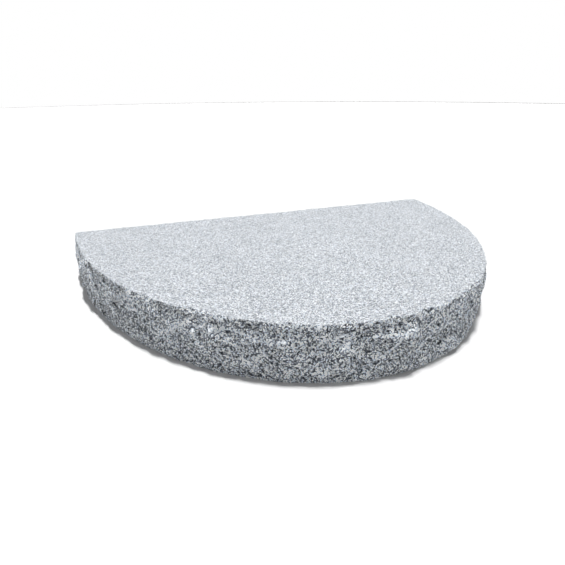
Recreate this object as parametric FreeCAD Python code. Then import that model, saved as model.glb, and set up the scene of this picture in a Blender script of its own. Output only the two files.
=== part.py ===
import FreeCAD, Part
import math
import os
import random

# Half-round granite step block: flat tread, bed and back, and a rock-pitched curved face.
# Frame: +Z up, the bed on z = 0, the straight back on y = 0, the nose towards -Y.
# Sizes are in millimetres.
Vector = FreeCAD.Vector

# Block, measured at its upper arris
WIDTH = 1350.0
DEPTH = 950.0
THICKNESS = 150.0

# Rounding where the back corners are knocked off
CORNER_RADIUS = 17.0

# Swell of the rock face outside the arris line, and the share of the thickness,
# up from the bed, at which it is reached
BED_INSET = 2.0
FOOT_SHARE = 0.16
FOOT_PROUD = 2.5
BELLY_SHARE = 0.44
BELLY_PROUD = 6.0
LEDGE_SHARE = 0.7
LEDGE_PROUD = 7.5

# Hollows that the pitching chisel struck off under the arris. Each course of hollows has
# a spacing along the wall, a share of the thickness at which it runs, the floor of its
# hollows outside the arris line, and the radii that they are curved to
STRUCK_SPACING = 92.0
STRUCK_SHARE = 0.89
STRUCK_FLOOR = -2.4
STRUCK_LENGTH_RADIUS = 210.0
STRUCK_HEIGHT_RADIUS = 80.0

# Broad scars where flakes came off the belly of the wall
SCAR_SPACING = 138.0
SCAR_SHARE = 0.5
SCAR_FLOOR = 0.5
SCAR_LENGTH_RADIUS = 380.0
SCAR_HEIGHT_RADIUS = 190.0

# Smaller hollows along the foot of the wall
FOOT_SPACING = 110.0
FOOT_COURSE_SHARE = 0.2
FOOT_FLOOR = -2.2
FOOT_LENGTH_RADIUS = 260.0
FOOT_HEIGHT_RADIUS = 150.0

# Irregularity of the hand work: share by which a hollow's place and radii stray from those
# of its course, share of the thickness by which its height strays, how far its floor strays
# in or out, and the number that starts the straying
WANDER = 0.35
LEVEL_WANDER = 0.06
FLOOR_WANDER = 2.0
SEED = 11

# Single scars outside the courses. Each row: share of the wall's length from the left
# corner, share of the thickness, floor, length radius, height radius
SINGLE_SCARS = [
    (0.142, 0.08, -7.0, 40.0, 60.0),
    (0.305, 0.86, -4.0, 300.0, 60.0),
    (0.366, 0.86, -5.0, 200.0, 50.0),
    (0.458, 0.92, -3.5, 120.0, 24.0),
    (0.567, 0.36, -5.0, 300.0, 80.0),
    (0.655, 0.2, -8.0, 800.0, 250.0),
]

# Spacing of the poles that hold the surface of the rock face, their number round each
# back corner, and the degree of the surface
POLE_SPACING = 13.0
POLE_RISE = 8.0
CORNER_POLES = 4
DEGREE = 3


class Hollow:
    """One bowl in the rock face, placed by its length along the arris line and its height."""

    def __init__(self, along, height, floor, length_radius, height_radius):
        self.along = along
        self.height = height
        self.floor = floor
        self.length_radius = length_radius
        self.height_radius = height_radius

    def surface(self, along, height):
        """Distance of the bowl's surface outside the arris line at a place on the wall."""
        sideways = (along - self.along) ** 2 / (2 * self.length_radius)
        upwards = (height - self.height) ** 2 / (2 * self.height_radius)
        return self.floor + sideways + upwards


def arris_line():
    """Plan of the upper arris, from the left back corner round the nose to the right one."""
    centre = Vector(0, 0, 0)
    side = Vector(WIDTH / 2, 0, 0)
    if DEPTH > WIDTH / 2:
        ellipse = Part.Ellipse(Vector(0, -DEPTH, 0), side, centre)
        return Part.ArcOfEllipse(ellipse, -math.pi / 2, math.pi / 2).toShape()
    ellipse = Part.Ellipse(side, Vector(0, DEPTH, 0), centre)
    return Part.ArcOfEllipse(ellipse, math.pi, 2 * math.pi).toShape()


def course(length, spacing, share, floor, length_radius, height_radius, chance):
    """Hollows of one course, from end to end of the wall."""

    def stray(size):
        return size * (1 + chance.uniform(-WANDER, WANDER))

    count = max(1, round(length / spacing))
    step = length / count
    hollows = []
    for index in range(count + 1):
        along = step * (index + chance.uniform(-WANDER, WANDER))
        height = THICKNESS * (share + chance.uniform(-LEVEL_WANDER, LEVEL_WANDER))
        deep = floor + chance.uniform(-FLOOR_WANDER, FLOOR_WANDER)
        hollows.append(Hollow(along, height, deep, stray(length_radius), stray(height_radius)))
    return hollows


def all_hollows(length):
    """The three courses of hollows and the single scars."""
    chance = random.Random(SEED)
    struck = (STRUCK_SPACING, STRUCK_SHARE, STRUCK_FLOOR, STRUCK_LENGTH_RADIUS, STRUCK_HEIGHT_RADIUS)
    scars = (SCAR_SPACING, SCAR_SHARE, SCAR_FLOOR, SCAR_LENGTH_RADIUS, SCAR_HEIGHT_RADIUS)
    foot = (FOOT_SPACING, FOOT_COURSE_SHARE, FOOT_FLOOR, FOOT_LENGTH_RADIUS, FOOT_HEIGHT_RADIUS)
    hollows = []
    for sizes in (struck, scars, foot):
        hollows += course(length, *sizes, chance)
    for along_share, share, *sizes in SINGLE_SCARS:
        hollows.append(Hollow(length * along_share, THICKNESS * share, *sizes))
    return hollows


def swell(height):
    """Distance of the unworked wall outside the arris line at a height."""
    profile = [
        (0.0, -BED_INSET),
        (FOOT_SHARE, FOOT_PROUD),
        (BELLY_SHARE, BELLY_PROUD),
        (LEDGE_SHARE, LEDGE_PROUD),
        (1.0, 0.0),
    ]
    share = height / THICKNESS
    for (low, inner), (high, outer) in zip(profile, profile[1:]):
        if share <= high:
            return inner + (outer - inner) * (share - low) / (high - low)
    return 0.0


def corner_cut(along, length):
    """How far a rounded back corner stands inside the arris line at a place on it."""
    reach = max(0.0, CORNER_RADIUS - min(along, length - along))
    return CORNER_RADIUS - math.sqrt(CORNER_RADIUS ** 2 - reach ** 2)


def pole_places(length):
    """Places of the lines of poles along the arris line, closer together round the corners."""
    turns = [math.pi / 2 * (1 - step / CORNER_POLES) for step in range(CORNER_POLES)]
    corner = [CORNER_RADIUS * (1 - math.sin(turn)) for turn in turns]
    middle = length - 2 * CORNER_RADIUS
    columns = max(2 * DEGREE, math.ceil(middle / POLE_SPACING))
    run = [CORNER_RADIUS + middle * (column / columns) for column in range(columns + 1)]
    return corner + run + [length - place for place in reversed(corner)]


def rock_face():
    """Curved wall, drawn through lines that follow its swell and its hollows."""
    arris = arris_line()
    hollows = all_hollows(arris.Length)
    rows = max(2 * DEGREE, math.ceil(THICKNESS / POLE_RISE))
    grid = []
    for along in pole_places(arris.Length):
        at = arris.getParameterByLength(along)
        foot_point = arris.valueAt(at)
        outward = arris.tangentAt(at).cross(Vector(0, 0, 1)).normalize()
        cut = corner_cut(along, arris.Length)
        line = []
        for row in range(rows + 1):
            height = THICKNESS * (row / rows)
            bowls = [hollow.surface(along, height) for hollow in hollows]
            proud = min(swell(height), *bowls) - cut
            line.append(foot_point + outward * proud + Vector(0, 0, height))
        grid.append(line)
    across_knots, across_counts = clamped_knots(len(grid))
    up_knots, up_counts = clamped_knots(len(grid[0]))
    surface = Part.BSplineSurface()
    surface.buildFromPolesMultsKnots(
        grid, across_counts, up_counts, across_knots, up_knots, False, False, DEGREE, DEGREE
    )
    return surface.toShape()


def clamped_knots(poles):
    """Evenly spaced knots, and how often each counts, for a curve that ends on its last poles."""
    spans = poles - DEGREE
    counts = [DEGREE + 1] + [1] * (spans - 1) + [DEGREE + 1]
    return [float(knot) for knot in range(spans + 1)], counts


def straight_edge(curved_edge):
    """Line that closes a curved edge across the back."""
    first, last = curved_edge.Vertexes
    return Part.makeLine(first.Point, last.Point)


def flat_face(edges):
    """Flat face inside a closed run of edges."""
    return Part.Face(Part.Wire(Part.sortEdges(edges)[0]))


def step_block():
    """The whole stone: rock face, tread, bed and back."""
    wall = rock_face()
    by_height = sorted(wall.Edges, key=lambda edge: edge.CenterOfMass.z)
    bed_edge, left_edge, right_edge, tread_edge = by_height
    tread_back = straight_edge(tread_edge)
    bed_back = straight_edge(bed_edge)
    tread = flat_face([tread_edge, tread_back])
    bed = flat_face([bed_edge, bed_back])
    back = flat_face([left_edge, tread_back, right_edge, bed_back])
    shell = Part.makeShell([wall, tread, bed, back])
    shell.sewShape()
    return Part.makeSolid(shell)


def main():
    os.makedirs("parts", exist_ok=True)
    stone = step_block()
    print("solids", len(stone.Solids), "faces", len(stone.Faces), "valid", stone.isValid())
    print("volume", round(stone.Volume))
    stone.exportStep("parts/step_block.step")


main()
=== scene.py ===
import math

import bpy
from bpy.props import FloatProperty, FloatVectorProperty, IntProperty, PointerProperty
from mathutils import Matrix, Vector, noise


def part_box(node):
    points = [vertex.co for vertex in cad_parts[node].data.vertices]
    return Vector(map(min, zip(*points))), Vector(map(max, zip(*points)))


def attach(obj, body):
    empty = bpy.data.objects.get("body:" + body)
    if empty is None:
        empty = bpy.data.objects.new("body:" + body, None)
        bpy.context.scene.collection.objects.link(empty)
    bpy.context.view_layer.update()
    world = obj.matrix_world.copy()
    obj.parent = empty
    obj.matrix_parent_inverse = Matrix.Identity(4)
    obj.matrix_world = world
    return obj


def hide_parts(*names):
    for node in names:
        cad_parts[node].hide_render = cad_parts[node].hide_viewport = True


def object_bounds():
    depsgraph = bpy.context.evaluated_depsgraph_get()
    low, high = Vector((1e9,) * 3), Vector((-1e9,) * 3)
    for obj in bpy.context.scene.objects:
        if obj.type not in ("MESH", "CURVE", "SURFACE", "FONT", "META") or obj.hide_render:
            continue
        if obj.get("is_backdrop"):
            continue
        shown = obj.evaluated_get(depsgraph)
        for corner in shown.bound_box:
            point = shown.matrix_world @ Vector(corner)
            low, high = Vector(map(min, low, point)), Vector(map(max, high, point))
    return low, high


bl_info = {
    "name": "Granite step block",
    "version": (1, 0, 0),
    "blender": (4, 5, 0),
    "location": "3D View > Sidebar > Step block",
    "description": "Half-round granite step with a flamed tread and a rock-pitched curved face",
    "category": "Add Mesh",
}

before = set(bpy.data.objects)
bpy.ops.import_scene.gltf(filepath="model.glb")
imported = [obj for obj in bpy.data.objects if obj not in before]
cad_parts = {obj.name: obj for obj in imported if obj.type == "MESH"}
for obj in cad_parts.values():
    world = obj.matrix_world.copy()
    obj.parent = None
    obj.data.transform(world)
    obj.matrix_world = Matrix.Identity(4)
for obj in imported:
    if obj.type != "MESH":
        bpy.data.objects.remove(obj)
CAD_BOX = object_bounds()

MILLIMETRE = 0.001
STONE = "step_block_stone"
CAD_NODE = "step_block"
# Attribute that holds the whitened, crushed crystals together with the painted light and shade of the rock
# face
BRUISE_AND_PAINTED_LIGHT = "bruise_and_painted_light"

# Laying of the wall on the CAD face: what it keeps from the face's edges meanwhile, how far
# it may move, and the distance within which two places count as one
EDGE_MARGIN = 0.4 * MILLIMETRE
WRAP_LIMIT = 0.04
SAME_PLACE = 1e-5

# Break facets, from large to small: size and slope, as multiples of those in the sizes, then
# the steepness of the step from one facet to the next and the factor that varies their tilts
FACET_COURSES = ((1.0, 1.5), (0.42, 1.3), (0.17, 1.4))
FACET_STEP = 3.0
TILT_FACTOR = 7.0

# Heights and depths over which the break grows to its full relief from the arris, from the
# bed and from the back, in metres, and the share of it that is there from the start
ARRIS_FADE = 0.03
ARRIS_START = 0.25
BED_FADE = 0.02
BED_START = 0.3
BACK_FADE = 0.012

# Splinters and grain: levels that stay in place, and the grain's size in metres and depth as
# a share of the splinters' depth
SPLINTER_LEVEL = 0.35
GRAIN_LEVEL = 0.4
GRAIN_SIZE = 0.006
GRAIN_SHARE = 0.7

# Widths in millimetres of the rings of faces inside the edges of the tread, the bed and the
# back, and the share of the depth at which their middle lies. A whole cap is a face with more
# corners than CAP_CORNERS that points along its axis by more than the share CAP_FACING
TREAD_RINGS = (1.2, 1.2, 1.4, 1.8, 2.4, 3.2, 4.0)
BED_RINGS = (2.0, 4.0)
BACK_RINGS = (1.4, 2.4, 3.6)
RING_MIDDLE = 0.42
CAP_CORNERS = 100
CAP_FACING = 0.9

# Wear along the edges: its reach, where the curved rim begins as a share of the outline, how
# much of the wear goes inwards and downwards at the arris and inwards at the bed, and the
# fineness, lower level and upper level of its unevenness
WEAR_REACH = 6.0 * MILLIMETRE
WEAR_RIM = 0.995
WEAR_INWARDS = 0.6
WEAR_DOWNWARDS = 0.7
WEAR_AT_BED = 0.5
WEAR_FINENESS = 55.0
WEAR_LOW = 0.35
WEAR_HIGH = 1.6

# Chips in the arris round the nose. Each row: place across the block, half its length along
# the arris, and its depth, in metres. The numbers before them are the lean of the chips'
# surface, the fineness of its unevenness, and where the curved rim begins for them
CHIP_LEAN = 0.8
CHIP_FINENESS = 160.0
CHIP_RIM = 0.985
CHIPS = (
    (-0.414, 0.022, 0.0050),
    (-0.384, 0.016, 0.0035),
    (-0.352, 0.010, 0.0025),
    (-0.225, 0.008, 0.0020),
    (-0.104, 0.020, 0.0035),
    (0.000, 0.016, 0.0065),
    (0.092, 0.020, 0.0050),
    (0.160, 0.010, 0.0030),
    (0.238, 0.016, 0.0050),
    (0.276, 0.013, 0.0045),
    (0.305, 0.010, 0.0035),
)

# Sharp ledges in the rock face. Each row: place across the block and height of one end, the
# same of the other end, how far the stone beside the ledge is set back, and how far that
# reaches (above the ledge, or below it where negative), in metres. The numbers before them
# are the fineness and size of a ledge's wavering, the share of its length over which it fades
# at each end, and the band of crushed stone and painted highlight along it
LEDGE_FINENESS = 70.0
LEDGE_WAVER = 3.0 * MILLIMETRE
LEDGE_FADE = 0.2
LEDGE_BAND_BEFORE = 4.5 * MILLIMETRE
LEDGE_BAND_BEHIND = 0.5 * MILLIMETRE
LEDGES = (
    (0.072, 0.048, 0.122, 0.081, 0.0055, -0.05),
    (0.110, 0.077, 0.212, 0.088, 0.0060, -0.05),
    (-0.024, 0.050, 0.026, 0.099, 0.0030, -0.03),
    (-0.384, 0.088, -0.349, 0.122, 0.0035, -0.035),
    (-0.354, 0.121, -0.300, 0.107, 0.0040, -0.035),
    (-0.468, 0.066, -0.439, 0.104, 0.0030, -0.03),
    (-0.422, 0.094, -0.394, 0.122, 0.0035, 0.02),
    (-0.262, 0.106, -0.214, 0.118, 0.0035, 0.02),
    (-0.136, 0.116, -0.084, 0.129, 0.0045, 0.018),
    (-0.560, 0.094, -0.520, 0.108, 0.0030, 0.02),
)

# Crushed, whitened crystals and painted light: fineness and spread of the crystals' patches, upward tilt of
# the wall at which the painted highlight begins and over which it grows (painted shade where the wall faces
# down), and limits and weights of what adds to them
PATCH_FINENESS = 17.0
PATCH_SPREAD = 1.4
TILT_START = 0.04
TILT_RANGE = 0.34
TILT_LIMITS = (-0.4, 0.75)
PATCH_WEIGHT = 0.3
BRUISE_LIMITS = (-0.5, 1.0)
LEDGE_WEIGHT = 1.1

# Crests of the broken surface: rounds of smoothing that they are measured against, the height
# that counts as a full crest, and their limits
CREST_ROUNDS = 6
CREST_HEIGHT = 0.8 * MILLIMETRE
CREST_LIMITS = (-0.4, 0.6)

# Angle above which an edge stays sharp, and the least share of a face's direction that has to
# point up or down, or backwards, for it to belong to the tread or the bed, or to the back
SHARP_ANGLE = math.radians(38.0)
LEVEL_FACE = 0.8
BACK_FACE = 0.9

# Finishes of the granite, in the order of the faces' numbers. Each has its crystals a metre,
# the share of the flamed tone in it, the range of its cloudy tint, the strength and height in
# metres of its bump, and its roughness
FINISHES = {
    "flamed": {
        "crystals": 470.0, "toned": 0.5, "tint": (0.925, 0.975), "bump": (0.5, 0.0012), "roughness": 0.82,
    },
    "split": {
        "crystals": 350.0, "toned": 0.0, "tint": (0.9, 1.08), "bump": (1.0, 0.0052), "roughness": 0.75,
    },
    "sawn": {
        "crystals": 350.0, "toned": 0.45, "tint": (0.94, 1.04), "bump": (0.25, 0.0006), "roughness": 0.6,
    },
}

# Places of the overhead lamps along their row, as shares of its length, and their height
LAMP_PLACES = (-0.5, 0.0, 0.5)
LAMP_HEIGHT = 4.0

# Sides of the round backdrop
BACKDROP_SIDES = 96

# Camera: its place in metres, and its azimuth, elevation and roll in degrees
CAMERA_PLACE = (-0.5527, -1.7737, 0.6400)
CAMERA_ANGLES = (-19.556, 22.777, -0.483)


class StoneSizes(bpy.types.PropertyGroup):
    """Sizes of the stone's surface, as far as they aren't in the CAD part."""

    columns: IntProperty(
        name="Columns", description="Mesh columns round the whole plan ellipse",
        default=2400, min=64, max=4000,
    )
    rows: IntProperty(
        name="Rows", description="Mesh rows up the rock face", default=60, min=8, max=200,
    )
    back_cuts: IntProperty(
        name="Back cuts", description="Cuts along the straight back edge",
        default=359, min=8, max=499,
    )
    facet_size: FloatProperty(
        name="Facet size", description="Width of the largest break facets",
        default=0.055, min=0.005, max=0.2, unit="LENGTH",
    )
    facet_slope: FloatProperty(
        name="Facet slope", description="Steepness of the break facets",
        default=0.11, min=0.0, max=1.0,
    )
    splinter_size: FloatProperty(
        name="Splinter size", description="Width of the small broken facets",
        default=0.011, min=0.002, max=0.05, unit="LENGTH",
    )
    splinter_depth: FloatProperty(
        name="Splinter depth", description="Relief of the small broken facets",
        default=0.0022, min=0.0, max=0.01, unit="LENGTH",
    )
    wear: FloatProperty(
        name="Wear", description="Depth of the chips along the edges",
        default=0.0016, min=0.0, max=0.01, unit="LENGTH",
    )


class StoneColours(bpy.types.PropertyGroup):
    """Colours of the minerals and finishes."""

    white_feldspar: FloatVectorProperty(
        name="White feldspar", description="Lightest crystals", subtype="COLOR",
        size=3, min=0.0, max=1.0, default=(0.96, 0.985, 1.0),
    )
    feldspar: FloatVectorProperty(
        name="Feldspar", description="Light grey crystals", subtype="COLOR",
        size=3, min=0.0, max=1.0, default=(0.65, 0.71, 0.795),
    )
    quartz: FloatVectorProperty(
        name="Quartz", description="Grey glassy crystals", subtype="COLOR",
        size=3, min=0.0, max=1.0, default=(0.175, 0.198, 0.235),
    )
    mica: FloatVectorProperty(
        name="Mica", description="Dark flakes", subtype="COLOR",
        size=3, min=0.0, max=1.0, default=(0.020, 0.024, 0.034),
    )
    # Colour of crushed crystals, also used for the painted highlight where the wall faces up and along the
    # ledges
    bruise_and_painted_light: FloatVectorProperty(
        name="Bruise", description="Crushed crystals on struck edges", subtype="COLOR",
        size=3, min=0.0, max=1.0, default=(0.69, 0.74, 0.81),
    )
    flamed: FloatVectorProperty(
        name="Flamed", description="Tone of the flamed tread", subtype="COLOR",
        size=3, min=0.0, max=1.0, default=(0.33, 0.345, 0.365),
    )


class StageSettings(bpy.types.PropertyGroup):
    """Floor, backdrop, lamps and lens."""

    floor_size: FloatProperty(
        name="Floor size", description="Side of the square floor", default=30.0, min=4.0, unit="LENGTH",
    )
    floor_colour: FloatVectorProperty(
        name="Floor colour", description="Plain pale floor", subtype="COLOR",
        size=3, min=0.0, max=1.0, default=(0.71, 0.71, 0.71),
    )
    key_strength: FloatProperty(
        name="Key strength", description="Strength of the soft light from overhead", default=3.9, min=0.0,
    )
    key_spread: FloatProperty(
        name="Key spread", description="Angle that each lamp of the overhead light fills",
        default=math.radians(4.0), min=0.0, subtype="ANGLE",
    )
    key_length: FloatProperty(
        name="Key length", description="Angle from the first lamp of the overhead light to the last",
        default=math.radians(6.0), min=0.0, subtype="ANGLE",
    )
    key_lean_back: FloatProperty(
        name="Key lean back", description="Angle by which the overhead light stands behind the stone",
        default=math.radians(4.5), subtype="ANGLE",
    )
    key_lean_right: FloatProperty(
        name="Key lean right", description="Angle by which the overhead light stands to the stone's right",
        default=math.radians(3.0), subtype="ANGLE",
    )
    sky_strength: FloatProperty(
        name="Sky strength", description="Brightness of the room above the backdrop", default=0.25, min=0.0,
    )
    backdrop_radius: FloatProperty(
        name="Backdrop radius", description="Radius of the round white backdrop", default=12.0, min=3.0,
        unit="LENGTH",
    )
    backdrop_height: FloatProperty(
        name="Backdrop height", description="Height of the round white backdrop", default=3.2, min=0.5,
        unit="LENGTH",
    )
    lens: FloatProperty(
        name="Lens", description="Focal length in millimetres on a 36 mm sensor", default=31.42, min=1.0,
    )


# Meshes


def deselect_all():
    """Leaves edit mode and selects nothing."""
    if bpy.context.object and bpy.context.object.mode != "OBJECT":
        bpy.ops.object.mode_set(mode="OBJECT")
    bpy.ops.object.select_all(action="DESELECT")


def make_active(piece):
    """The piece alone, selected and active."""
    deselect_all()
    piece.select_set(True)
    bpy.context.view_layer.objects.active = piece


def pick(piece, mode, chosen):
    """Selects in edit mode the vertices, edges or faces for which chosen is true."""
    bpy.ops.object.mode_set(mode="OBJECT")
    mesh = piece.data
    for items in (mesh.vertices, mesh.edges, mesh.polygons):
        items.foreach_set("select", [False] * len(items))
    kinds = {"VERT": mesh.vertices, "EDGE": mesh.edges, "FACE": mesh.polygons}
    for item in kinds[mode]:
        if chosen(item):
            item.select = True
    bpy.ops.object.mode_set(mode="EDIT")
    bpy.ops.mesh.select_mode(type=mode)


def group_by_place(piece, name, weight):
    """Adds a vertex group with a weight worked out from each vertex's place."""
    group = piece.vertex_groups.new(name=name)
    for vertex in piece.data.vertices:
        share = weight(vertex.co)
        if share > 0.0:
            group.add([vertex.index], min(share, 1.0), "REPLACE")


def apply_modifier(piece, kind, **values):
    """Adds one modifier with its values and applies it."""
    make_active(piece)
    modifier = piece.modifiers.new(kind.title(), kind)
    for name, value in values.items():
        setattr(modifier, name, value)
    bpy.ops.object.modifier_apply(modifier=modifier.name)


def fracture_texture(name, kind, size, **values):
    """Procedural texture for a displacement."""
    texture = bpy.data.textures.new(name, kind)
    texture.noise_scale = size
    for key, value in values.items():
        setattr(texture, key, value)
    return texture


def clamp(value, low, high):
    """The value, kept between two limits."""
    return max(low, min(high, value))


def band(value, full, none):
    """Weight that is 1 up to full and falls to 0 at none."""
    if value <= full:
        return 1.0
    return max(0.0, 1.0 - (value - full) / (none - full))


def break_facets(place, size, slope):
    """Height of a field of tilted break facets, with short ledges from one to the next."""
    at = place / size
    distances, centres = noise.voronoi(at)
    heights = []
    for centre in centres[:2]:
        tilt = noise.cell_vector(centre * TILT_FACTOR) * 2.0 - Vector((1.0, 1.0, 1.0))
        heights.append((at - centre).dot(tilt))
    own_share = min(1.0, 0.5 + (distances[1] - distances[0]) * FACET_STEP)
    return (heights[0] * own_share + heights[1] * (1.0 - own_share)) * size * slope


def ledges_at(place):
    """For every ledge beside a place: distance into the set-back side, reach, setback, fade."""
    for x_start, z_start, x_end, z_end, setback, reach in LEDGES:
        run = Vector((x_end - x_start, z_end - z_start))
        to_place = Vector((place.x - x_start, place.z - z_start))
        share = to_place.dot(run) / run.length_squared
        if 0.0 < share < 1.0:
            waver = noise.noise(Vector((place.x, 0.0, place.z)) * LEDGE_FINENESS) * LEDGE_WAVER
            aside = run.cross(to_place) / run.length + waver
            fade = min(1.0, share / LEDGE_FADE, (1.0 - share) / LEDGE_FADE)
            yield math.copysign(1.0, reach) * aside, abs(reach), setback, fade


def ledge_setback(place):
    """How far the stone beside the ledges is set back at a place on the rock face."""
    return sum(
        setback * (1.0 - into / reach) ** 2 * fade
        for into, reach, setback, fade in ledges_at(place) if 0.0 < into < reach
    )


def ledge_edge(place):
    """Share of crushed stone and painted highlight along the edge of a ledge."""
    near = (fade for into, _, _, fade in ledges_at(place) if -LEDGE_BAND_BEFORE < into < LEDGE_BAND_BEHIND)
    return max(near, default=0.0)


class MESH_OT_step_block_stone(bpy.types.Operator):
    """Models the one-piece stone over the CAD block"""

    bl_idname = "mesh.step_block_stone"
    bl_label = "Add stone"
    bl_options = {"REGISTER", "UNDO"}

    def execute(self, context):
        sizes = context.scene.step_block_sizes
        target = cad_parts[CAD_NODE]
        low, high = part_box(CAD_NODE)
        self.height = high[2] - low[2]
        self.half_width = (high[0] - low[0]) / 2.0
        self.depth = high[1] - low[1]
        stone = self.curved_wall(sizes, target)
        self.tilts = [vertex.normal.z for vertex in stone.data.vertices]
        self.break_up(stone, sizes)
        self.close(stone, sizes)
        self.wear_edges(stone, sizes)
        self.chip_arris(stone)
        self.finish_mesh(stone)
        self.bruise_and_painted_light(stone)
        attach(stone, "root")
        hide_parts(CAD_NODE)
        return {"FINISHED"}

    def curved_wall(self, sizes, target):
        """Open strip round the nose, laid on the CAD rock face."""
        step = (self.height - 2 * EDGE_MARGIN) / sizes.rows
        deselect_all()
        bpy.ops.mesh.primitive_circle_add(
            vertices=sizes.columns, radius=1.0, fill_type="NOTHING", location=(0, 0, EDGE_MARGIN)
        )
        stone = bpy.context.object
        stone.name = STONE
        stone.data.name = STONE
        bpy.ops.object.transform_apply(location=True, rotation=False, scale=False)
        stone.scale = (self.half_width, self.depth, 1.0)
        bpy.ops.object.transform_apply(location=False, rotation=False, scale=True)
        bpy.ops.object.mode_set(mode="EDIT")
        bpy.ops.mesh.select_all(action="SELECT")
        bpy.ops.mesh.bisect(
            plane_co=(0, -EDGE_MARGIN, 0), plane_no=(0, 1, 0), clear_outer=True, threshold=SAME_PLACE,
        )
        bpy.ops.mesh.select_all(action="SELECT")
        for _ in range(sizes.rows):
            bpy.ops.mesh.extrude_edges_move(TRANSFORM_OT_translate={"value": (0, 0, step)})
        bpy.ops.mesh.select_all(action="SELECT")
        bpy.ops.mesh.normals_make_consistent(inside=False)
        bpy.ops.object.mode_set(mode="OBJECT")
        self.face_outwards(stone)
        wrap = target.copy()
        wrap.data = target.data.copy()
        bpy.context.collection.objects.link(wrap)
        make_active(wrap)
        bpy.ops.object.mode_set(mode="EDIT")
        bpy.ops.mesh.select_all(action="SELECT")
        bpy.ops.mesh.remove_doubles(threshold=SAME_PLACE)
        bpy.ops.object.mode_set(mode="OBJECT")
        apply_modifier(
            stone, "SHRINKWRAP", target=wrap, wrap_method="PROJECT",
            use_negative_direction=True, use_positive_direction=True, project_limit=WRAP_LIMIT,
        )
        mesh = wrap.data
        bpy.data.objects.remove(wrap)
        bpy.data.meshes.remove(mesh)
        make_active(stone)
        bpy.ops.object.mode_set(mode="EDIT")
        bpy.ops.mesh.select_all(action="SELECT")
        stretch = self.height / (self.height - 2 * EDGE_MARGIN)
        bpy.ops.transform.resize(value=(1, 1, stretch), center_override=(0, 0, self.height / 2))
        bpy.ops.object.mode_set(mode="OBJECT")
        for vertex in stone.data.vertices:
            if vertex.co.y > -1.5 * EDGE_MARGIN:
                vertex.co.y = 0.0
        return stone

    def face_outwards(self, stone):
        """Turns the strip's faces away from the middle of the block."""
        face = stone.data.polygons[0]
        if face.normal.dot(Vector((face.center.x, face.center.y, 0.0))) < 0.0:
            make_active(stone)
            bpy.ops.object.mode_set(mode="EDIT")
            bpy.ops.mesh.select_all(action="SELECT")
            bpy.ops.mesh.flip_normals()
            bpy.ops.object.mode_set(mode="OBJECT")

    def break_up(self, stone, sizes):
        """Facets, ledges, splinters and grain of the break, shallower at the arris and the bed."""
        top = self.height

        def scar_weight(place):
            from_arris = (top - place.z) / ARRIS_FADE
            from_bed = place.z / BED_FADE
            from_back = -place.y / BACK_FADE
            return max(0.0, min(ARRIS_START + from_arris, BED_START + from_bed, from_back, 1.0))

        vertices = stone.data.vertices
        rims = [
            (axis, level, [v.index for v in vertices if abs(v.co[axis] - level) < SAME_PLACE])
            for axis, level in ((2, 0.0), (2, top), (1, 0.0))
        ]
        for vertex in vertices:
            outward = self.outward(vertex.co)
            relief = sum(
                break_facets(vertex.co, sizes.facet_size * size, sizes.facet_slope * slope)
                for size, slope in FACET_COURSES
            )
            relief -= ledge_setback(vertex.co)
            vertex.co += outward * relief * scar_weight(vertex.co)
        group_by_place(stone, "scars", scar_weight)
        splinters = fracture_texture(
            "Splinters", "VORONOI", sizes.splinter_size, distance_metric="DISTANCE_SQUARED",
            weight_1=1.0, noise_intensity=1.0,
        )
        apply_modifier(
            stone, "DISPLACE", texture=splinters, texture_coords="LOCAL", vertex_group="scars",
            strength=sizes.splinter_depth, mid_level=SPLINTER_LEVEL,
        )
        grain = fracture_texture("Grain", "CLOUDS", GRAIN_SIZE, noise_type="HARD_NOISE", noise_depth=1)
        apply_modifier(
            stone, "DISPLACE", texture=grain, texture_coords="LOCAL", vertex_group="scars",
            strength=-sizes.splinter_depth * GRAIN_SHARE, mid_level=GRAIN_LEVEL,
        )
        for axis, level, indices in rims:
            for index in indices:
                stone.data.vertices[index].co[axis] = level

    def outward(self, place):
        """Level direction away from the middle of the block."""
        return Vector((place.x / self.half_width ** 2, place.y / self.depth ** 2, 0.0)).normalized()

    def close(self, stone, sizes):
        """Tread, bed and back, each with narrow rings along its edges."""
        make_active(stone)
        top = self.height
        for level in (0.0, top):
            pick(stone, "VERT", lambda v: abs(v.co.z - level) < 10 * SAME_PLACE and abs(v.co.y) < SAME_PLACE)
            bpy.ops.mesh.edge_face_add()
            bpy.ops.mesh.subdivide(number_cuts=sizes.back_cuts)
        for level in (top, 0.0):
            pick(stone, "EDGE", lambda e: self.edge_at(stone, e, "z", level, 10 * SAME_PLACE))
            bpy.ops.mesh.edge_face_add()
        pick(stone, "EDGE", lambda e: self.edge_at(stone, e, "y", 0.0, SAME_PLACE))
        bpy.ops.mesh.edge_face_add()
        bpy.ops.mesh.select_all(action="SELECT")
        bpy.ops.mesh.normals_make_consistent(inside=False)
        middle = -RING_MIDDLE * self.depth
        caps = (
            ("z", 1.0, (0, middle, top), TREAD_RINGS, (-middle, -middle, 0)),
            ("z", -1.0, (0, middle, 0), BED_RINGS, (-middle, -middle, 0)),
            ("y", 1.0, (0, 0, top / 2), BACK_RINGS, (self.half_width, 0, top / 2)),
        )
        for axis, side, centre, rings, reach in caps:
            pick(stone, "FACE", lambda f: self.is_cap(f, axis, side))
            for ring in rings:
                shrink = [1 - ring * MILLIMETRE / size if size else 1 for size in reach]
                bpy.ops.mesh.inset(thickness=0.0, depth=0.0)
                bpy.ops.transform.resize(value=shrink, center_override=centre)
        bpy.ops.object.mode_set(mode="OBJECT")

    def is_cap(self, face, axis, side):
        """Whether a face is a whole cap that faces one way along an axis."""
        return getattr(face.normal, axis) * side > CAP_FACING and len(face.vertices) > CAP_CORNERS

    def edge_at(self, stone, edge, axis, value, margin):
        """Whether both ends of an edge lie in a plane."""
        ends = (stone.data.vertices[index].co for index in edge.vertices)
        return all(abs(getattr(end, axis) - value) < margin for end in ends)

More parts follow.
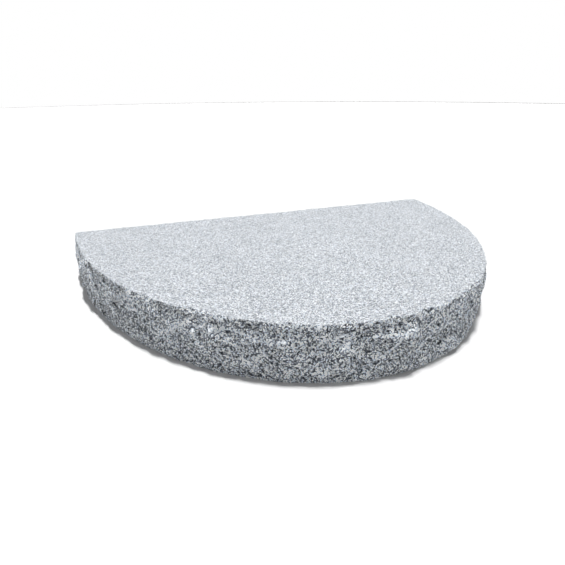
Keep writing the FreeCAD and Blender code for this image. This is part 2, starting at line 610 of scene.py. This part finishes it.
    def wear_edges(self, stone, sizes):
        """Small chips along the edges of the tread and the back, and along the rim of the bed."""
        top = self.height
        for vertex in stone.data.vertices:
            place = vertex.co
            inward = Vector((0.0, 0.0, 0.0))
            near_top = band(top - place.z, 0.0, WEAR_REACH)
            near_bed = band(place.z, 0.0, WEAR_REACH)
            near_back = band(-place.y, 0.0, WEAR_REACH)
            reach = math.hypot(place.x / self.half_width, place.y / self.depth)
            rim = band((WEAR_RIM - reach) * self.half_width, 0.0, WEAR_REACH)
            outward = self.outward(place)
            if near_top and rim:
                inward -= outward * near_top * WEAR_INWARDS + Vector((0, 0, 1)) * rim * WEAR_DOWNWARDS
            if near_top and near_back:
                inward -= Vector((0, near_top, near_back))
            if near_back and rim:
                inward -= outward * near_back
            if near_bed and rim:
                inward -= outward * near_bed * WEAR_AT_BED
            if inward.length_squared:
                rough = noise.hetero_terrain(
                    place * WEAR_FINENESS, 0.6, 2.2, 4, 0.6, noise_basis="PERLIN_ORIGINAL",
                )
                deep = max(0.0, min(rough - WEAR_LOW, WEAR_HIGH))
                place += inward * sizes.wear * deep

    def chip_arris(self, stone):
        """Breaks the chips out of the arris round the nose."""
        up = Vector((0.0, 0.0, 1.0))
        vertices = stone.data.vertices
        lowest = self.height - MILLIMETRE
        rim = [v.co.copy() for v in vertices if v.co.z > lowest and self.on_rim(v.co)]
        for across, half_length, depth in CHIPS:
            corner = min(rim, key=lambda place: abs(place.x - across))
            outward = self.outward(corner)
            sideways = outward.cross(up)
            facing = (outward + up * CHIP_LEAN).normalized()
            reach = half_length + 4 * depth
            for vertex in vertices:
                offset = vertex.co - corner
                if offset.length > reach:
                    continue
                along = offset.dot(sideways) / half_length
                if abs(along) < 1.0:
                    rough = noise.noise(vertex.co * CHIP_FINENESS) * MILLIMETRE
                    over = offset.dot(facing) + (depth + rough) * (1.0 - along ** 2)
                    if over > 0.0:
                        vertex.co -= facing * over

    def on_rim(self, place):
        """Whether a place lies close to the curved outline, on the nose side."""
        reach = math.hypot(place.x / self.half_width, place.y / self.depth)
        return place.y < -self.depth / 2 and reach > CHIP_RIM

    def bruise_and_painted_light(self, stone):
        """Share of whitening and painted light: painted highlight where the wall faces up, painted shade
        where it faces down and in hollows, whitened crystals in patches and on crests, and crushed stone
        with painted highlight along the ledges.
        """
        crests = self.crests(stone)
        flat_caps = [0.0] * (len(crests) - len(self.tilts))
        shares = []
        for vertex, crest, tilt in zip(stone.data.vertices, crests, self.tilts + flat_caps):
            patch = clamp(0.5 + PATCH_SPREAD * noise.noise(vertex.co * PATCH_FINENESS), 0.0, 1.0)
            # Painted light and shade: lighter where the wall faces up and darker where it faces down, by its
            # tilt; crests add whitening and hollows add painted shade
            painted_light_by_tilt = clamp((tilt - TILT_START) / TILT_RANGE, *TILT_LIMITS)
            share = painted_light_by_tilt * (0.5 + 0.5 * patch) + PATCH_WEIGHT * patch * patch + crest
            shares.append(clamp(share, *BRUISE_LIMITS) + LEDGE_WEIGHT * ledge_edge(vertex.co))
        attribute = stone.data.attributes.new(BRUISE_AND_PAINTED_LIGHT, "FLOAT", "POINT")
        attribute.data.foreach_set("value", shares)

    def crests(self, stone):
        """How far every vertex stands out of its surroundings, as a share."""
        mesh = stone.data
        neighbours = [[] for _ in mesh.vertices]
        for edge in mesh.edges:
            first, second = edge.vertices
            neighbours[first].append(second)
            neighbours[second].append(first)
        smooth = [vertex.co.copy() for vertex in mesh.vertices]
        for _ in range(CREST_ROUNDS):
            smooth = [
                sum((smooth[index] for index in near), smooth[own].copy()) / (len(near) + 1)
                for own, near in enumerate(neighbours)
            ]
        return [
            clamp((vertex.co - flat).dot(vertex.normal) / CREST_HEIGHT, *CREST_LIMITS)
            for vertex, flat in zip(mesh.vertices, smooth)
        ]

    def finish_mesh(self, stone):
        """Smooth shading with sharp arrises, a finish on every face, and its box kept flat."""
        top = self.height
        for vertex in stone.data.vertices:
            vertex.co.z = min(max(vertex.co.z, 0.0), top)
            vertex.co.y = min(vertex.co.y, 0.0)
        stone.vertex_groups.clear()
        make_active(stone)
        bpy.ops.object.shade_smooth_by_angle(angle=SHARP_ANGLE)
        for material in stone_materials(bpy.context.scene.step_block_colours):
            stone.data.materials.append(material)
        for face in stone.data.polygons:
            if face.normal.z > LEVEL_FACE:
                face.material_index = 0
            elif face.normal.z < -LEVEL_FACE or face.normal.y > BACK_FACE:
                face.material_index = 2
            else:
                face.material_index = 1


# Materials


class Nodes:
    """Short way to add and join nodes of one material."""

    def __init__(self, name):
        self.material = bpy.data.materials.new(name)
        self.material.use_nodes = True
        self.tree = self.material.node_tree
        self.tree.nodes.clear()

    def add(self, kind, inputs=(), **values):
        """Node of a kind; inputs are (socket, value or source socket) pairs."""
        node = self.tree.nodes.new(kind)
        for key, value in values.items():
            setattr(node, key, value)
        for socket, source in inputs:
            if isinstance(source, bpy.types.NodeSocket):
                self.tree.links.new(source, node.inputs[socket])
            else:
                node.inputs[socket].default_value = source
        return node

    def ramp(self, source, stops, mode="LINEAR"):
        """Colour ramp with (place, grey or colour) stops."""
        node = self.add("ShaderNodeValToRGB", [(0, source)])
        node.color_ramp.interpolation = mode
        elements = node.color_ramp.elements
        while len(elements) < len(stops):
            elements.new(0.5)
        for element, (place, colour) in zip(elements, stops):
            element.position = place
            element.color = (*colour, 1.0) if hasattr(colour, "__len__") else (*[colour] * 3, 1.0)
        return node.outputs["Color"]

    def mix(self, share, first, second, mode="MIX"):
        """Mix of two colours."""
        node = self.tree.nodes.new("ShaderNodeMix")
        node.data_type = "RGBA"
        node.blend_type = mode
        for socket, source in ((0, share), (6, first), (7, second)):
            if isinstance(source, bpy.types.NodeSocket):
                self.tree.links.new(source, node.inputs[socket])
            elif hasattr(source, "__len__"):
                node.inputs[socket].default_value = (*source, 1.0)
            else:
                node.inputs[socket].default_value = source
        return node.outputs[2]

    def math(self, operation, *sources):
        """One mathematical step."""
        return self.add("ShaderNodeMath", list(enumerate(sources)), operation=operation).outputs[0]


def crystals(nodes, place, colours, scale):
    """Colour of the interlocking crystals, the chance value of each, and the fine noise in them."""
    cells = nodes.add(
        "ShaderNodeTexVoronoi", [("Vector", place), ("Scale", scale), ("Randomness", 1.0)],
        feature="F1", distance="EUCLIDEAN",
    )
    pick_value = nodes.add("ShaderNodeSeparateColor", [("Color", cells.outputs["Color"])]).outputs[0]
    minerals = [
        (0.0, colours.mica),
        (0.22, colours.quartz),
        (0.46, colours.feldspar),
        (0.7, colours.white_feldspar),
    ]
    colour = nodes.ramp(pick_value, minerals, "CONSTANT")
    fine = nodes.add("ShaderNodeTexNoise", [("Vector", place), ("Scale", scale * 2.2), ("Detail", 2.0)])
    tone = nodes.ramp(fine.outputs["Fac"], [(0.36, 0.42), (0.64, 1.92)])
    return nodes.mix(1.0, colour, tone, "MULTIPLY"), pick_value, fine.outputs["Fac"]


def whitened(nodes, colour, colours, rough):
    """Colour of the split face, lighter where its crystals are crushed, with painted highlight where it
    faces up and painted shade where it faces down and in the hollows.
    """
    bruised_and_lit = nodes.add("ShaderNodeAttribute", attribute_name=BRUISE_AND_PAINTED_LIGHT).outputs["Fac"]
    patch = nodes.ramp(rough, [(0.4, 0.0), (0.56, 1.0)])
    crushed_and_lit = nodes.math("MULTIPLY", nodes.math("MAXIMUM", bruised_and_lit, 0.0), 0.45)
    colour = nodes.mix(nodes.math("MULTIPLY", crushed_and_lit, patch), colour, tuple(colours.bruise_and_painted_light))
    # Painted shade and highlight: the colour is multiplied by as little as 0.72 where the stone faces down
    # or lies in a hollow, and by as much as 1.75 where it faces up, stands out or lines a ledge
    shade = nodes.add(
        "ShaderNodeMapRange",
        [("Value", bruised_and_lit), ("From Min", -0.5), ("From Max", 1.5), ("To Min", 0.72), ("To Max", 1.75)],
    ).outputs["Result"]
    return nodes.mix(1.0, colour, shade, "MULTIPLY")


def granite(name, colours, finish):
    """Granite with one of its finishes."""
    nodes = Nodes(name)
    recipe = FINISHES[finish]
    place = nodes.add("ShaderNodeTexCoord").outputs["Object"]
    colour, pick_value, fine = crystals(nodes, place, colours, recipe["crystals"])
    cloudy = nodes.add("ShaderNodeTexNoise", [("Vector", place), ("Scale", 6.0), ("Detail", 3.0)])
    rough_noise = nodes.add(
        "ShaderNodeTexNoise", [("Vector", place), ("Scale", 240.0), ("Detail", 4.0)]
    )
    if finish == "split":
        colour = whitened(nodes, colour, colours, rough_noise.outputs["Fac"])
    else:
        colour = nodes.mix(recipe["toned"], colour, tuple(colours.flamed))
    darkest, lightest = recipe["tint"]
    tint = nodes.ramp(cloudy.outputs["Fac"], [(0.3, darkest), (0.7, lightest)])
    strength, distance = recipe["bump"]
    roughness = recipe["roughness"]
    colour = nodes.mix(1.0, colour, tint, "MULTIPLY")
    relief = nodes.math("ADD", nodes.math("MULTIPLY", rough_noise.outputs["Fac"], 1.2), fine)
    relief = nodes.math("ADD", relief, nodes.math("MULTIPLY", pick_value, 0.6))
    bump = nodes.add(
        "ShaderNodeBump", [("Strength", strength), ("Distance", distance), ("Height", relief)]
    ).outputs["Normal"]
    shine = nodes.add(
        "ShaderNodeMapRange",
        [("Value", pick_value), ("To Min", roughness - 0.2), ("To Max", roughness + 0.1)],
    ).outputs["Result"]
    surface = nodes.add(
        "ShaderNodeBsdfPrincipled",
        [("Base Color", colour), ("Roughness", shine), ("Normal", bump), ("Specular IOR Level", 0.35)],
    )
    nodes.add("ShaderNodeOutputMaterial", [("Surface", surface.outputs[0])])
    return nodes.material


def stone_materials(colours):
    """Flamed, split and sawn granite, in the order of the faces' numbers."""
    return [granite("Granite " + finish, colours, finish) for finish in FINISHES]


# Stage


class SCENE_OT_step_block_stage(bpy.types.Operator):
    """Adds the floor, the soft light and the camera"""

    bl_idname = "scene.step_block_stage"
    bl_label = "Add stage"
    bl_options = {"REGISTER", "UNDO"}

    def execute(self, context):
        stage = context.scene.step_block_stage
        self.floor(stage)
        self.backdrop(stage)
        self.light(context, stage)
        self.camera(context, stage)
        return {"FINISHED"}

    def floor(self, stage):
        """Plain pale floor."""
        deselect_all()
        bpy.ops.mesh.primitive_plane_add(size=stage.floor_size, location=(0, 0, 0))
        floor = bpy.context.object
        floor.name = "stage_floor"
        nodes = Nodes("Floor")
        surface = nodes.add(
            "ShaderNodeBsdfPrincipled",
            [
                ("Base Color", (*stage.floor_colour, 1.0)),
                ("Roughness", 0.9),
                ("Specular IOR Level", 0.1),
            ],
        )
        nodes.add("ShaderNodeOutputMaterial", [("Surface", surface.outputs[0])])
        floor.data.materials.append(nodes.material)
        floor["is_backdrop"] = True

    def backdrop(self, stage):
        """Round white wall behind the floor, so that the background stays white."""
        deselect_all()
        bpy.ops.mesh.primitive_cylinder_add(
            vertices=BACKDROP_SIDES, radius=stage.backdrop_radius, depth=stage.backdrop_height,
            end_fill_type="NOTHING", location=(0, 0, stage.backdrop_height / 2),
        )
        backdrop = bpy.context.object
        backdrop.name = "stage_backdrop"
        nodes = Nodes("Backdrop")
        glow = nodes.add("ShaderNodeEmission", [("Color", (1.0, 1.0, 1.0, 1.0)), ("Strength", 1.0)])
        nodes.add("ShaderNodeOutputMaterial", [("Surface", glow.outputs[0])])
        backdrop.data.materials.append(nodes.material)
        backdrop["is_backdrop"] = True

    def light(self, context, stage):
        """Row of soft lamps overhead, and the dimmer room above the backdrop."""
        for index, share in enumerate(LAMP_PLACES):
            deselect_all()
            bpy.ops.object.light_add(type="SUN", location=(0, share, LAMP_HEIGHT))
            lamp = bpy.context.object
            lamp.name = "key_light_" + str(index + 1)
            lamp.data.energy = stage.key_strength / len(LAMP_PLACES)
            lamp.data.angle = stage.key_spread
            lean_back = stage.key_lean_back + stage.key_length * share
            towards = Vector((math.tan(stage.key_lean_right), math.tan(lean_back), 1.0))
            lamp.rotation_euler = (-towards).to_track_quat("-Z", "Y").to_euler()
        world = bpy.data.worlds.new("Surroundings")
        context.scene.world = world
        world.use_nodes = True
        background = world.node_tree.nodes["Background"]
        background.inputs["Color"].default_value = (1.0, 1.0, 1.0, 1.0)
        background.inputs["Strength"].default_value = stage.sky_strength
        context.scene.view_settings.view_transform = "Standard"

    def camera(self, context, stage):
        """Camera that looks down at the nose from the left."""
        azimuth, elevation, roll = (math.radians(angle) for angle in CAMERA_ANGLES)
        forward = Vector((
            -math.sin(azimuth) * math.cos(elevation),
            math.cos(azimuth) * math.cos(elevation),
            -math.sin(elevation),
        ))
        right = Vector((math.cos(azimuth), math.sin(azimuth), 0.0))
        upward = right.cross(forward)
        across = right * math.cos(roll) + upward * math.sin(roll)
        above = upward * math.cos(roll) - right * math.sin(roll)
        deselect_all()
        bpy.ops.object.camera_add()
        camera = bpy.context.object
        camera.name = "photo_camera"
        axes = Matrix((across, above, -forward)).transposed().to_4x4()
        camera.matrix_world = Matrix.Translation(CAMERA_PLACE) @ axes
        camera.data.lens = stage.lens
        camera.data.sensor_width = 36.0
        camera.data.sensor_fit = "AUTO"
        camera.data.clip_start = 0.01
        camera.data.dof.use_dof = False
        context.scene.camera = camera


class VIEW3D_PT_step_block(bpy.types.Panel):
    """Sidebar panel with the pieces and their sizes"""

    bl_idname = "VIEW3D_PT_step_block"
    bl_label = "Step block"
    bl_space_type = "VIEW_3D"
    bl_region_type = "UI"
    bl_category = "Step block"

    def draw(self, context):
        scene = context.scene
        for group, operator in (
            (scene.step_block_sizes, MESH_OT_step_block_stone),
            (scene.step_block_colours, None),
            (scene.step_block_stage, SCENE_OT_step_block_stage),
        ):
            box = self.layout.box()
            for name in group.__annotations__:
                box.prop(group, name)
            if operator:
                box.operator(operator.bl_idname)


CLASSES = (
    StoneSizes,
    StoneColours,
    StageSettings,
    MESH_OT_step_block_stone,
    SCENE_OT_step_block_stage,
    VIEW3D_PT_step_block,
)


def register():
    """Registers the classes and hangs the settings on the scene."""
    for each in CLASSES:
        bpy.utils.register_class(each)
    bpy.types.Scene.step_block_sizes = PointerProperty(type=StoneSizes)
    bpy.types.Scene.step_block_colours = PointerProperty(type=StoneColours)
    bpy.types.Scene.step_block_stage = PointerProperty(type=StageSettings)


def unregister():
    """Takes the settings and the classes away."""
    del bpy.types.Scene.step_block_stage
    del bpy.types.Scene.step_block_colours
    del bpy.types.Scene.step_block_sizes
    for each in reversed(CLASSES):
        bpy.utils.unregister_class(each)


def main():
    """Registers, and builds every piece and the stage."""
    register()
    bpy.ops.mesh.step_block_stone()
    bpy.ops.scene.step_block_stage()
    boxes = (("cad", CAD_BOX), ("visual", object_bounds()))
    sizes = {name: [list(corner) for corner in box] for name, box in boxes}


if __name__ == "__main__":
    main()
